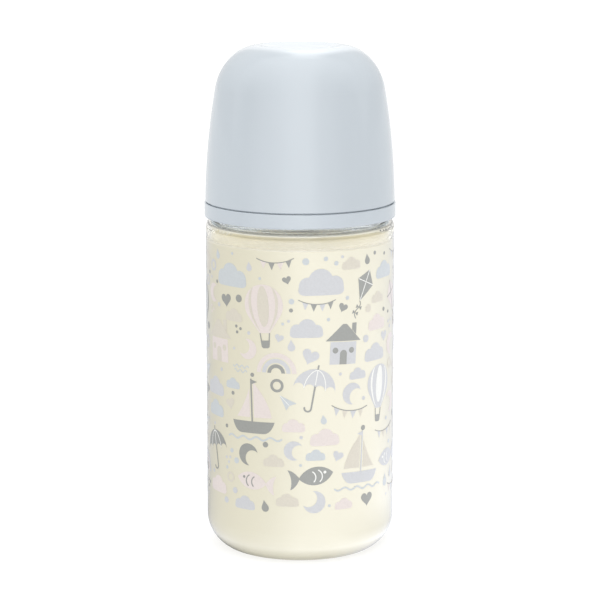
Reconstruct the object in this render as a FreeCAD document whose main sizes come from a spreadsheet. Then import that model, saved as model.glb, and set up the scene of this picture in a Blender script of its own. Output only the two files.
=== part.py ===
import FreeCAD, Part
import math
import os
import Sketcher

V = FreeCAD.Vector

doc = FreeCAD.newDocument("BabyBottle")

# ---------------------------------------------------------------- dimensions
# Millimetres and degrees. Z is up, the foot of the bottle stands on z = 0 and
# the axis of the bottle is the Z axis.
DIMENSIONS = [
    # bottle
    ("body_rad", 32.0), ("wall_thk", 1.7), ("base_thk", 2.0),
    ("corner_rad", 11.8), ("corner_sweep", 59.0), ("heel_rad", 2.7),
    ("foot_in_rad", 20.6), ("push_heel_rad", 3.2), ("push_blend_rad", 3.0),
    ("push_slope", 35.0), ("push_dome_slope", 6.0),
    ("inner_corner_rad", 9.5),
    ("wall_top", 110.5), ("shoulder_rad", 3.2), ("shoulder_thk", 1.8),
    ("neck_rad", 26.5), ("neck_in_rad", 24.5), ("neck_root_rad", 0.8),
    ("neck_in_root_rad", 1.2), ("shoulder_in_rad", 1.5),
    ("rim_top", 126.0), ("rim_edge_rad", 0.5),
    # thread of the neck and of the ring
    ("thread_pitch", 4.5), ("thread_start", 116.2), ("thread_turns", 1.5),
    ("thread_crest", 27.9), ("thread_root_half", 1.25), ("thread_crest_half", 0.55),
    ("thread_sink", 0.3),
    ("nut_offset", 1.85), ("nut_turns", 1.1), ("nut_crest", 26.95),
    ("nut_root_half", 1.2), ("nut_crest_half", 0.5),
    ("runout_gap", 0.05), ("runout_len", 9.2),
    # screw ring
    ("band_rad", 32.4), ("band_bottom", 114.2), ("band_top", 119.05),
    ("band_low_rad", 0.5), ("band_top_rad", 0.25), ("band_in_rad", 30.7),
    ("land_rad", 31.2), ("land_top", 119.38), ("slot_top", 117.3), ("slot_rad", 0.45),
    ("spigot_rad", 29.7), ("spigot_top", 129.45), ("spigot_top_rad", 1.4),
    ("bore_rad", 28.4), ("skirt_bottom", 114.0), ("skirt_edge", 0.35),
    ("ledge_low", 127.65), ("ledge_root_rad", 0.7), ("hole_rad", 21.4), ("hole_edge_rad", 0.5),
    ("snap_z", 123.4), ("snap_half", 0.7), ("snap_high", 0.15),
    # cap
    ("cap_bottom", 119.4), ("cap_bottom_rad", 32.113), ("cap_lean_low", 0.8514),
    ("cap_side_rad", 246.48), ("cap_lean_mid", 9.768), ("cap_shoulder_rad", 18.54),
    ("cap_lean_high", 52.0), ("cap_lip_rad", 12.63),
    ("cap_lip_in_rad", 3.0), ("cap_dish_lean", 10.0),
    ("cap_thk", 1.6), ("cap_bore", 30.15), ("cap_edge", 0.22),
    ("cap_snap_z", 121.7),
    # teat
    ("flange_rad", 26.3), ("flange_low", 126.03), ("flange_top", 127.6), ("flange_edge", 0.4),
    ("groove_rad", 21.0), ("collar_low", 129.6), ("collar_rad", 22.4), ("collar_edge_rad", 0.5),
    ("collar_top", 131.4), ("dome_start_rad", 21.6),
    ("dome_rad", 15.0), ("dome_lean_low", 12.0), ("dome_lean_high", 62.0),
    ("waist_rad", 9.0), ("nipple_lean", 6.0), ("nipple_len", 6.0),
    ("teat_thk", 1.6), ("throat_rad", 19.3), ("throat_edge_rad", 1.0),
    ("feed_hole_rad", 0.4), ("vent_rad", 2.1), ("vent_deep", 0.55),
    ("vent_boss_rad", 2.7), ("vent_boss_len", 2.4), ("vent_hole_rad", 0.35),
    ("vent_lean", 26.0), ("vent_turn", -62.0),
]
sheet = doc.addObject("Spreadsheet::Sheet", "Dims")
VALUE = {}
for row, (alias, value) in enumerate(DIMENSIONS, 1):
    sheet.set("A%d" % row, alias)
    sheet.set("B%d" % row, "%r" % value)
    sheet.setAlias("B%d" % row, alias)
    VALUE[alias] = value
doc.recompute()


class Q:
    """A number together with the expression that binds it to the sheet."""

    def __init__(self, value, text):
        self.v = float(value)
        self.t = text

    def __add__(self, o):
        o = q(o)
        return Q(self.v + o.v, "(%s + %s)" % (self.t, o.t))

    def __sub__(self, o):
        o = q(o)
        return Q(self.v - o.v, "(%s - %s)" % (self.t, o.t))

    def __mul__(self, o):
        o = q(o)
        return Q(self.v * o.v, "%s * %s" % (self.t, o.t))

    def __truediv__(self, o):
        o = q(o)
        return Q(self.v / o.v, "%s / (%s)" % (self.t, o.t))

    def __radd__(self, o):
        return q(o) + self

    def __rsub__(self, o):
        return q(o) - self

    def __rmul__(self, o):
        return q(o) * self


def q(x):
    return x if isinstance(x, Q) else Q(x, "%r" % float(x))


def d(alias):
    return Q(VALUE[alias], "Dims." + alias)


def sin(a):
    return Q(math.sin(math.radians(a.v)), "sin(%s)" % a.t)


def cos(a):
    return Q(math.cos(math.radians(a.v)), "cos(%s)" % a.t)


def sqrt(a):
    return Q(math.sqrt(a.v), "sqrt(%s)" % a.t)


class Outline:
    """Closed outline of straight lines and arcs; x is the radius, y the height."""

    def __init__(self, x, y):
        self.points = [(q(x), q(y))]
        self.kinds = []

    def line(self, x, y):
        self.points.append((q(x), q(y)))
        self.kinds.append(("line",))
        return self

    def arc(self, x, y, radius, ccw):
        self.points.append((q(x), q(y)))
        self.kinds.append(("arc", q(radius), ccw))
        return self

    def close(self):
        self.kinds.append(("line",))
        return self

    def close_arc(self, radius, ccw):
        self.kinds.append(("arc", q(radius), ccw))
        return self


def plane_of(body, role):
    for feature in body.Origin.OriginFeatures:
        if feature.Role == role:
            return feature
    raise RuntimeError("no plane " + role)


def make_sketch(body, name, outline, role="XZ_Plane"):
    sketch = body.newObject("Sketcher::SketchObject", name)
    sketch.AttachmentSupport = [(plane_of(body, role), "")]
    sketch.MapMode = "FlatFace"
    pts = outline.points
    count = len(pts)
    ends = []
    for i, kind in enumerate(outline.kinds):
        a = V(pts[i][0].v, pts[i][1].v, 0)
        b = V(pts[(i + 1) % count][0].v, pts[(i + 1) % count][1].v, 0)
        if kind[0] == "line":
            index = sketch.addGeometry(Part.LineSegment(a, b), False)
            ends.append((index, 1, 2))
        else:
            radius, ccw = kind[1].v, kind[2]
            chord = b - a
            half = chord.Length / 2.0
            lift = math.sqrt(max(radius * radius - half * half, 0.0))
            left = V(-chord.y, chord.x, 0)
            left.normalize()
            centre = (a + b) * 0.5 + left * (lift if ccw else -lift)
            ang_a = math.atan2(a.y - centre.y, a.x - centre.x)
            ang_b = math.atan2(b.y - centre.y, b.x - centre.x)
            first, second = (ang_a, ang_b) if ccw else (ang_b, ang_a)
            while second < first:
                second += 2 * math.pi
            circle = Part.Circle(centre, V(0, 0, 1), radius)
            index = sketch.addGeometry(Part.ArcOfCircle(circle, first, second), False)
            ends.append((index, 1, 2) if ccw else (index, 2, 1))
    for i in range(count):
        index, _, out = ends[i]
        nxt, into, _ = ends[(i + 1) % count]
        sketch.addConstraint(Sketcher.Constraint("Coincident", index, out, nxt, into))
    for i in range(count):
        index, into, _ = ends[i]
        x, y = pts[i]
        if abs(x.v) < 1e-9:
            sketch.addConstraint(Sketcher.Constraint("PointOnObject", index, into, -2))
        else:
            c = sketch.addConstraint(Sketcher.Constraint("DistanceX", -1, 1, index, into, x.v))
            sketch.renameConstraint(c, "px%d" % i)
            sketch.setExpression("Constraints.px%d" % i, x.t)
        if abs(y.v) < 1e-9:
            sketch.addConstraint(Sketcher.Constraint("PointOnObject", index, into, -1))
        else:
            c = sketch.addConstraint(Sketcher.Constraint("DistanceY", -1, 1, index, into, y.v))
            sketch.renameConstraint(c, "py%d" % i)
            sketch.setExpression("Constraints.py%d" % i, y.t)
        kind = outline.kinds[i]
        if kind[0] == "arc":
            c = sketch.addConstraint(Sketcher.Constraint("Radius", index, kind[1].v))
            sketch.renameConstraint(c, "rad%d" % i)
            sketch.setExpression("Constraints.rad%d" % i, kind[1].t)
    doc.recompute()
    return sketch


def revolve(body, name, outline):
    sketch = make_sketch(body, name + "Outline", outline)
    turned = body.newObject("PartDesign::Revolution", name)
    turned.Profile = sketch
    turned.ReferenceAxis = (sketch, ["V_Axis"])
    turned.Angle = 360.0
    turned.Refine = False
    doc.recompute()
    return turned


def ridge(body, name, outline, role, turns):
    """A right-hand thread ridge wound about the axis."""
    before = body.Shape.Volume
    sketch = make_sketch(body, name + "Section", outline, role)
    wound = body.newObject("PartDesign::AdditiveHelix", name)
    wound.Profile = sketch
    wound.ReferenceAxis = (sketch, ["V_Axis"])
    wound.Mode = "pitch-turns-angle"
    wound.setExpression("Pitch", "Dims.thread_pitch")
    wound.setExpression("Turns", turns.t)
    wound.LeftHanded = False
    wound.Refine = False
    doc.recompute()
    if body.Shape.Volume <= before + 1.0:
        raise RuntimeError(name + " added nothing")
    return wound


def new_body(label):
    body = doc.addObject("PartDesign::Body", label)
    body.Label = label
    return body


def set_base(feature, x, y, z, rotation=None):
    feature.Placement = FreeCAD.Placement(V(x.v, y.v, z.v), rotation or FreeCAD.Rotation())
    feature.setExpression("Placement.Base.x", x.t)
    feature.setExpression("Placement.Base.y", y.t)
    feature.setExpression("Placement.Base.z", z.t)


def cut_box(body, name, x, y, z, length, width, height):
    before = body.Shape.Volume
    box = body.newObject("PartDesign::SubtractiveBox", name)
    box.Refine = False
    box.setExpression("Length", length.t)
    box.setExpression("Width", width.t)
    box.setExpression("Height", height.t)
    set_base(box, x, y, z)
    doc.recompute()
    if body.Shape.Volume >= before - 0.05:
        raise RuntimeError(name + " cut nothing")
    return box


def cylinder(body, name, adds, radius, height, x, y, z, rotation=None):
    before = body.Shape.Volume
    kind = "PartDesign::AdditiveCylinder" if adds else "PartDesign::SubtractiveCylinder"
    cyl = body.newObject(kind, name)
    cyl.Refine = False
    cyl.setExpression("Radius", radius.t)
    cyl.setExpression("Height", height.t)
    set_base(cyl, x, y, z, rotation)
    doc.recompute()
    change = body.Shape.Volume - before
    if (adds and change <= 0.01) or (not adds and change >= -0.01):
        raise RuntimeError("%s changed the volume by %.4f" % (name, change))
    return cyl


# -------------------------------------------------------------------- bottle
body_rad, wall_thk, base_thk = d("body_rad"), d("wall_thk"), d("base_thk")
inner_rad = body_rad - wall_thk
sweep, corner, heel = d("corner_sweep"), d("corner_rad"), d("heel_rad")
foot_out = body_rad - corner * (1 - cos(sweep)) - heel * cos(sweep)
heel_x = foot_out + heel * cos(sweep)
heel_y = heel * (1 - sin(sweep))
wall_low = heel_y + corner * sin(sweep)
shoulder_top = d("wall_top") + d("shoulder_rad")

steep, gentle = d("push_slope"), d("push_dome_slope")
foot_in = d("foot_in_rad")
push_a, push_b = d("push_heel_rad"), d("push_blend_rad")
ax = foot_in - push_a * sin(steep)
ay = push_a * (1 - cos(steep))
bx = ax - push_b * (sin(steep) - sin(gentle))
by = ay + push_b * (cos(gentle) - cos(steep))
dome = bx / sin(gentle)
top = by + dome * (1 - cos(gentle))
# the floor inside runs parallel to the push-up under it
in_a, in_b = push_a - base_thk, push_b + base_thk
fx = foot_in - in_a * sin(steep)
fy = base_thk + in_a * (1 - cos(steep))
gx = fx - in_b * (sin(steep) - sin(gentle))
gy = fy + in_b * (cos(gentle) - cos(steep))
in_corner = d("inner_corner_rad")
in_low = shoulder_top - d("shoulder_thk")
rim, rim_r = d("rim_top"), d("rim_edge_rad")
neck, neck_in = d("neck_rad"), d("neck_in_rad")
root_r, in_root_r = d("neck_root_rad"), d("neck_in_root_rad")
sh_in = d("shoulder_in_rad")

o = Outline(0, top)
o.arc(bx, by, dome, False)
o.arc(ax, ay, push_b, False)
o.arc(foot_in, 0, push_a, True)
o.line(foot_out, 0)
o.arc(heel_x, heel_y, heel, True)
o.arc(body_rad, wall_low, corner, True)
o.line(body_rad, d("wall_top"))
o.arc(body_rad - d("shoulder_rad"), shoulder_top, d("shoulder_rad"), True)
o.line(neck + root_r, shoulder_top)
o.arc(neck, shoulder_top + root_r, root_r, False)
o.line(neck, rim - rim_r)
o.arc(neck - rim_r, rim, rim_r, True)
o.line(neck_in + rim_r, rim)
o.arc(neck_in, rim - rim_r, rim_r, True)
o.line(neck_in, in_low + in_root_r)
o.arc(neck_in + in_root_r, in_low, in_root_r, True)
o.line(inner_rad - sh_in, in_low)
o.arc(inner_rad, in_low - sh_in, sh_in, False)
o.line(inner_rad, base_thk + in_corner)
o.arc(inner_rad - in_corner, base_thk, in_corner, False)
o.line(foot_in, base_thk)
o.arc(fx, fy, in_a, False)
o.arc(gx, gy, in_b, True)
o.arc(0, top + base_thk, dome + base_thk, True)
o.close()
bottle = new_body("bottle")
revolve(bottle, "BottleShell", o)

pitch, start = d("thread_pitch"), d("thread_start")
crest, root_half, crest_half = d("thread_crest"), d("thread_root_half"), d("thread_crest_half")
sink = d("thread_sink")
flank = (root_half - crest_half) / (crest - neck)
low_half = root_half + sink * flank
o = Outline(neck - sink, start - low_half)
o.line(crest, start - crest_half).line(crest, start + crest_half).line(neck - sink, start + low_half).close()
ridge(bottle, "NeckThread", o, "XZ_Plane", d("thread_turns"))
# the ridge runs out into the neck at both ends
gap, run = d("runout_gap"), d("runout_len")
thread_end = start + pitch * d("thread_turns")
cut_box(bottle, "RunOutLow", neck + gap, q(-1.0), start - 1.6, q(4.0), run + 1, q(3.4))
cut_box(bottle, "RunOutHigh", 0 - neck - gap - 4, q(-1.0), thread_end - 1.8, q(4.0), run + 1, q(3.4))

# ---------------------------------------------------------------- screw ring
band, low_r, top_r = d("band_rad"), d("band_low_rad"), d("band_top_rad")
band_low, band_top = d("band_bottom"), d("band_top")
land, land_top = d("land_rad"), d("land_top")
spigot, spigot_top, spigot_r = d("spigot_rad"), d("spigot_top"), d("spigot_top_rad")
bore, skirt_low, skirt_edge = d("bore_rad"), d("skirt_bottom"), d("skirt_edge")
band_in, slot_top, slot_r = d("band_in_rad"), d("slot_top"), d("slot_rad")
ledge, ledge_r = d("ledge_low"), d("ledge_root_rad")
hole, hole_r = d("hole_rad"), d("hole_edge_rad")
snap_z, snap_half, snap_high = d("snap_z"), d("snap_half"), d("snap_high")
snap_r = (snap_half * snap_half + snap_high * snap_high) / (2 * snap_high)

o = Outline(band_in, band_low)
o.line(band - low_r, band_low)
o.arc(band, band_low + low_r, low_r, True)
o.line(band, band_top - top_r)
o.arc(band - top_r, band_top, top_r, True)
o.line(land, band_top)
o.line(land, land_top)
o.line(spigot, land_top)
o.line(spigot, snap_z - snap_half)
o.arc(spigot, snap_z + snap_half, snap_r, True)
o.line(spigot, spigot_top - spigot_r)
o.arc(spigot - spigot_r, spigot_top, spigot_r, True)
o.line(hole + hole_r, spigot_top)
o.arc(hole, spigot_top - hole_r, hole_r, True)
o.line(hole, ledge + hole_r)
o.arc(hole + hole_r, ledge, hole_r, True)
o.line(bore - ledge_r, ledge)
o.arc(bore, ledge - ledge_r, ledge_r, False)
o.line(bore, skirt_low + skirt_edge)
o.line(bore + skirt_edge, skirt_low)
o.line(spigot - 0.2, skirt_low)
o.line(spigot, skirt_low + 0.2)
o.line(spigot, slot_top - slot_r)
o.arc(spigot + slot_r, slot_top, slot_r, False)
o.line(band_in - slot_r, slot_top)
o.arc(band_in, slot_top - slot_r, slot_r, False)
o.close()
screw_ring = new_body("screw_ring")
revolve(screw_ring, "RingShell", o)

nut_crest, nut_half, nut_tip = d("nut_crest"), d("nut_root_half"), d("nut_crest_half")
nut_z = start + pitch / 4 - d("nut_offset")
nut_low = nut_half + sink * (nut_half - nut_tip) / (bore - nut_crest)
o = Outline(bore + sink, nut_z + nut_low)
o.line(nut_crest, nut_z + nut_tip).line(nut_crest, nut_z - nut_tip).line(bore + sink, nut_z - nut_low).close()
ridge(screw_ring, "RingThread", o, "YZ_Plane", d("nut_turns"))

# ----------------------------------------------------------------------- cap
zb, r0 = d("cap_bottom"), d("cap_bottom_rad")
la, lb, lc = d("cap_lean_low"), d("cap_lean_mid"), d("cap_lean_high")
ra, rb, rc = d("cap_side_rad"), d("cap_shoulder_rad"), d("cap_lip_rad")
lip_in, dish_lean, thk = d("cap_lip_in_rad"), d("cap_dish_lean"), d("cap_thk")
edge, cap_bore = d("cap_edge"), d("cap_bore")
# outer face: side, shoulder and lip arcs, each leaning in more than the last
px = r0 - ra * (cos(la) - cos(lb))
py = zb + ra * (sin(lb) - sin(la))
sx = px - rb * (cos(lb) - cos(lc))
sy = py + rb * (sin(lc) - sin(lb))
tx = sx - rc * cos(lc)
ty = sy + rc * (1 - sin(lc))
ux = tx - lip_in * sin(dish_lean)
uy = ty - lip_in * (1 - cos(dish_lean))
dish = ux / sin(dish_lean)
dish_z = uy - dish * (1 - cos(dish_lean))
# inner face: the same arcs, one wall thickness in
ccx = r0 - ra * cos(la)
ccz = zb - ra * sin(la)
ri = ra - thk
bore_top = ccz + sqrt(ri * ri - (cap_bore - ccx) * (cap_bore - ccx))
ipx = px - thk * cos(lb)
ipy = py - thk * sin(lb)
isx = sx - thk * cos(lc)
isy = sy - thk * sin(lc)
itx = tx
ity = ty - thk
iux = ux + thk * sin(dish_lean)
iuy = uy - thk * cos(dish_lean)
cap_snap = d("cap_snap_z")

o = Outline(cap_bore + edge, zb)
o.line(r0 - edge, zb)
o.line(ccx + sqrt(ra * ra - (zb + edge - ccz) * (zb + edge - ccz)), zb + edge)
o.arc(px, py, ra, True)
o.arc(sx, sy, rb, True)
o.arc(tx, ty, rc, True)
o.arc(ux, uy, lip_in, True)
o.arc(0, dish_z, dish, False)
o.line(0, dish_z - thk)
o.arc(iux, iuy, dish + thk, True)
o.arc(itx, ity, lip_in - thk, False)
o.arc(isx, isy, rc - thk, False)
o.arc(ipx, ipy, rb - thk, False)
o.arc(cap_bore, bore_top, ri, False)
o.line(cap_bore, cap_snap + snap_half)
o.arc(cap_bore, cap_snap - snap_half, snap_r, True)
o.line(cap_bore, zb + edge)
o.close()
cap = new_body("cap")
revolve(cap, "CapShell", o)

# ---------------------------------------------------------------------- teat
fl, flo, fhi, fe = d("flange_rad"), d("flange_low"), d("flange_top"), d("flange_edge")
gr, clo, crd, ce, chi = d("groove_rad"), d("collar_low"), d("collar_rad"), d("collar_edge_rad"), d("collar_top")
d0, dr, ta, tb = d("dome_start_rad"), d("dome_rad"), d("dome_lean_low"), d("dome_lean_high")
wr, tn, nl, tk = d("waist_rad"), d("nipple_lean"), d("nipple_len"), d("teat_thk")
thr, thr_r = d("throat_rad"), d("throat_edge_rad")
d1x = d0 - dr * (cos(ta) - cos(tb))
d1y = chi + dr * (sin(tb) - sin(ta))
d2x = d1x - wr * (cos(tn) - cos(tb))
d2y = d1y + wr * (sin(tb) - sin(tn))
d3x = d2x - nl * sin(tn)
d3y = d2y + nl * cos(tn)
tip = d3x / cos(tn)
tip_z = d3y + tip * (1 - sin(tn))


def inset(x, y, lean):
    return x - tk * cos(lean), y - tk * sin(lean)


i0x, i0y = inset(d0, chi, ta)
i1x, i1y = inset(d1x, d1y, tb)
i2x, i2y = inset(d2x, d2y, tn)
i3x, i3y = inset(d3x, d3y, tn)

o = Outline(thr + thr_r, flo)
o.line(fl - fe, flo)
o.line(fl, flo + fe)
o.line(fl, fhi - fe)
o.line(fl - fe, fhi)
o.line(gr + 0.3, fhi)
o.arc(gr, fhi + 0.3, q(0.3), False)
o.line(gr, clo)
o.line(crd - ce, clo)
o.arc(crd, clo + ce, ce, True)
o.line(d0, chi)
o.arc(d1x, d1y, dr, True)
o.arc(d2x, d2y, wr, False)
o.line(d3x, d3y)
o.arc(0, tip_z, tip, True)
o.line(0, tip_z - tk)
o.arc(i3x, i3y, tip - tk, False)
o.line(i2x, i2y)
o.arc(i1x, i1y, wr + tk, True)
o.arc(i0x, i0y, dr - tk, False)
o.line(thr, clo)
o.line(thr, flo + thr_r)
o.close_arc(thr_r, True)
teat = new_body("teat")
revolve(teat, "TeatShell", o)

# feed hole in the tip, and two air vents low on the dome: a shallow round
# recess outside, a boss inside and a pinhole through both
cylinder(teat, "FeedHole", False, d("feed_hole_rad"), q(8.0), q(0.0), q(0.0), tip_z - 5)
lean = d("vent_lean")
vx = d0 - dr * (cos(ta) - cos(lean))
vz = chi + dr * (sin(lean) - sin(ta))
deep, boss_len = d("vent_deep"), d("vent_boss_len")
for n, turn in ((1, d("vent_turn")), (2, d("vent_turn") + 180)):
    out = V(math.cos(math.radians(lean.v)) * math.cos(math.radians(turn.v)),
            math.cos(math.radians(lean.v)) * math.sin(math.radians(turn.v)),
            math.sin(math.radians(lean.v)))
    aim = FreeCAD.Rotation(V(0, 0, 1), out)

    def along(step):
        rr = vx + step * cos(lean)
        return rr * cos(turn), rr * sin(turn), vz + step * sin(lean)

    cylinder(teat, "VentBoss%d" % n, True, d("vent_boss_rad"), boss_len,
             *along(q(-0.4) - boss_len), rotation=aim)
    cylinder(teat, "VentRecess%d" % n, False, d("vent_rad"), deep + 1.5, *along(q(0.0) - deep), rotation=aim)
    cylinder(teat, "VentHole%d" % n, False, d("vent_hole_rad"), boss_len + 3,
             *along(q(-1.5) - boss_len), rotation=aim)

# --------------------------------------------------------------------- write
doc.recompute()
for item in doc.Objects:
    if any(word in item.State for word in ("Invalid", "Error")):
        raise RuntimeError("%s is %s" % (item.Name, item.State))
os.makedirs("parts", exist_ok=True)
for body in (bottle, screw_ring, cap, teat):
    shape = body.Shape
    if shape.isNull() or not shape.isValid() or len(shape.Solids) != 1:
        raise RuntimeError("%s: null, invalid or not one solid" % body.Label)
    shape.exportStep("parts/%s.step" % body.Label)
    box = shape.BoundBox
    print("%-11s volume %9.1f mm3  z %.3f..%.3f  r %.3f" % (body.Label, shape.Volume, box.ZMin, box.ZMax, box.XMax))
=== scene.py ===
import math
import random

import bmesh
import bpy
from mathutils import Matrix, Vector
from mathutils.geometry import tessellate_polygon


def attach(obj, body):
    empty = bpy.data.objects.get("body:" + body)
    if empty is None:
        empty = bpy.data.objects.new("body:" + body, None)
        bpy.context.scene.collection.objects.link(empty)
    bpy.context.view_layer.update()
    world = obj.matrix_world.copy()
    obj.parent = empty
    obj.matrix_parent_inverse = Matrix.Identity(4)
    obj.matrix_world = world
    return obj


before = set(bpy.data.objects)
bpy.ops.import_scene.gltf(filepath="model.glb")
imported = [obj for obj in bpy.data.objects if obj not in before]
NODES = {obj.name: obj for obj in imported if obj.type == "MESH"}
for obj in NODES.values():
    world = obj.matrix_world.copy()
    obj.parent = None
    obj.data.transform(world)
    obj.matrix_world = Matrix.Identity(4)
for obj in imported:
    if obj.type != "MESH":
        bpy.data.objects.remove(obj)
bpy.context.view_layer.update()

scene = bpy.context.scene
scene.view_settings.view_transform = "Standard"
scene.view_settings.look = "None"

WALL = 32.0  # radius of the straight wall, mm


# ------------------------------------------------------------------ materials
def new_material(name):
    m = bpy.data.materials.new(name)
    m.use_nodes = True
    nt = m.node_tree
    nt.nodes.clear()
    out = nt.nodes.new("ShaderNodeOutputMaterial")
    bsdf = nt.nodes.new("ShaderNodeBsdfPrincipled")
    nt.links.new(bsdf.outputs["BSDF"], out.inputs["Surface"])
    return m, nt, bsdf, out


def coords(nt):
    return nt.nodes.new("ShaderNodeTexCoord").outputs["Object"]


def noise(nt, vec, scale, detail=3.0, rough=0.5, distortion=0.0):
    n = nt.nodes.new("ShaderNodeTexNoise")
    n.inputs["Scale"].default_value = scale
    n.inputs["Detail"].default_value = detail
    n.inputs["Roughness"].default_value = rough
    n.inputs["Distortion"].default_value = distortion
    nt.links.new(vec, n.inputs["Vector"])
    return n.outputs["Fac"]


def stretch(nt, vec, sx, sy, sz):
    m = nt.nodes.new("ShaderNodeMapping")
    m.inputs["Scale"].default_value = (sx, sy, sz)
    nt.links.new(vec, m.inputs["Vector"])
    return m.outputs["Vector"]


def remap(nt, fac, lo, hi, a=0.3, b=0.7):
    m = nt.nodes.new("ShaderNodeMapRange")
    m.inputs["From Min"].default_value = a
    m.inputs["From Max"].default_value = b
    m.inputs["To Min"].default_value = lo
    m.inputs["To Max"].default_value = hi
    nt.links.new(fac, m.inputs["Value"])
    return m.outputs["Result"]


def two_tone(nt, fac, c1, c2, a=0.3, b=0.7):
    r = nt.nodes.new("ShaderNodeValToRGB")
    r.color_ramp.elements[0].position = a
    r.color_ramp.elements[0].color = (*c1, 1)
    r.color_ramp.elements[1].position = b
    r.color_ramp.elements[1].color = (*c2, 1)
    nt.links.new(fac, r.inputs["Fac"])
    return r.outputs["Color"]


def bump(nt, bsdf, height, strength, distance, after=None):
    b = nt.nodes.new("ShaderNodeBump")
    b.inputs["Strength"].default_value = strength
    b.inputs["Distance"].default_value = distance
    nt.links.new(height, b.inputs["Height"])
    if after is not None:
        nt.links.new(after, b.inputs["Normal"])
    return b.outputs["Normal"]


def calc(nt, op, a, b=None, c=None):
    n = nt.nodes.new("ShaderNodeMath")
    n.operation = op
    for i, v in enumerate((a, b, c)):
        if v is None:
            continue
        if isinstance(v, (int, float)):
            n.inputs[i].default_value = v
        else:
            nt.links.new(v, n.inputs[i])
    return n.outputs[0]


def graph(nt, x, stops):
    """Reads a value off straight lines through (x, value) stops."""
    lo, hi, top = stops[0][0], stops[-1][0], max(v for _, v in stops)
    ramp = nt.nodes.new("ShaderNodeValToRGB")
    cr = ramp.color_ramp
    while len(cr.elements) < len(stops):
        cr.elements.new(0.5)
    for e, (at, v) in zip(cr.elements, stops):
        e.position = (at - lo) / (hi - lo)
        e.color = (v / top, v / top, v / top, 1)
    nt.links.new(remap(nt, x, 0.0, 1.0, lo, hi), ramp.inputs["Fac"])
    grey = nt.nodes.new("ShaderNodeSeparateColor")
    nt.links.new(ramp.outputs["Color"], grey.inputs["Color"])
    return calc(nt, "MULTIPLY", grey.outputs[0], top)


def split(nt, vec):
    n = nt.nodes.new("ShaderNodeSeparateXYZ")
    nt.links.new(vec, n.inputs["Vector"])
    return n.outputs[0], n.outputs[1], n.outputs[2]


def lin(r, g, b):
    def one(v):
        v /= 255.0
        return v / 12.92 if v <= 0.04045 else ((v + 0.055) / 1.055) ** 2.4
    return one(r), one(g), one(b)


def shade(c, k):
    return tuple(min(1.0, v * k) for v in c)


def moulded_plastic(name, colour, rough, fine, painted_glow=0.0):
    """Pale moulded plastic: faint flow marks, very fine satin grain.

    Their hidden faces get a painted glow that stands in for daylight seeping through the thin skirts."""
    m, nt, bsdf, _ = new_material(name)
    vec = coords(nt)
    if painted_glow:
        x, y, z = split(nt, vec)
        reach = calc(nt, "SQRT", calc(nt, "ADD", calc(nt, "MULTIPLY", x, x), calc(nt, "MULTIPLY", y, y)))
        # painted glow: the ring's hidden skirt faces, low down only, emit a faint light in the ring's own colour,
        # stronger on the outer skirt
        hidden = graph(nt, reach, [(0.02, 0.3), (0.03, 0.3), (0.0304, 0.6), (0.0312, 0.6), (0.0318, 0.0), (0.033, 0.0)])
        hidden = calc(nt, "MULTIPLY", hidden, remap(nt, z, 1.0, 0.0, 0.1156, 0.1162))
        bsdf.inputs["Emission Color"].default_value = (*colour, 1)
        nt.links.new(calc(nt, "MULTIPLY", hidden, painted_glow), bsdf.inputs["Emission Strength"])
        m.cycles.emission_sampling = "NONE"
    flow = noise(nt, stretch(nt, vec, 1.0, 1.0, 0.35), 60.0, 4.0, 0.55, 0.3)
    grain = noise(nt, vec, 5200.0, 2.0, 0.6)
    bsdf.inputs["IOR"].default_value = 1.49
    nt.links.new(two_tone(nt, flow, shade(colour, 0.985), shade(colour, 1.012)), bsdf.inputs["Base Color"])
    nt.links.new(remap(nt, noise(nt, vec, 140.0, 5.0, 0.6), rough - 0.035, rough + 0.035), bsdf.inputs["Roughness"])
    soft = bump(nt, bsdf, flow, 0.015, 0.0006)
    nt.links.new(bump(nt, bsdf, grain, fine, 0.00002, soft), bsdf.inputs["Normal"])
    return m


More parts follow.
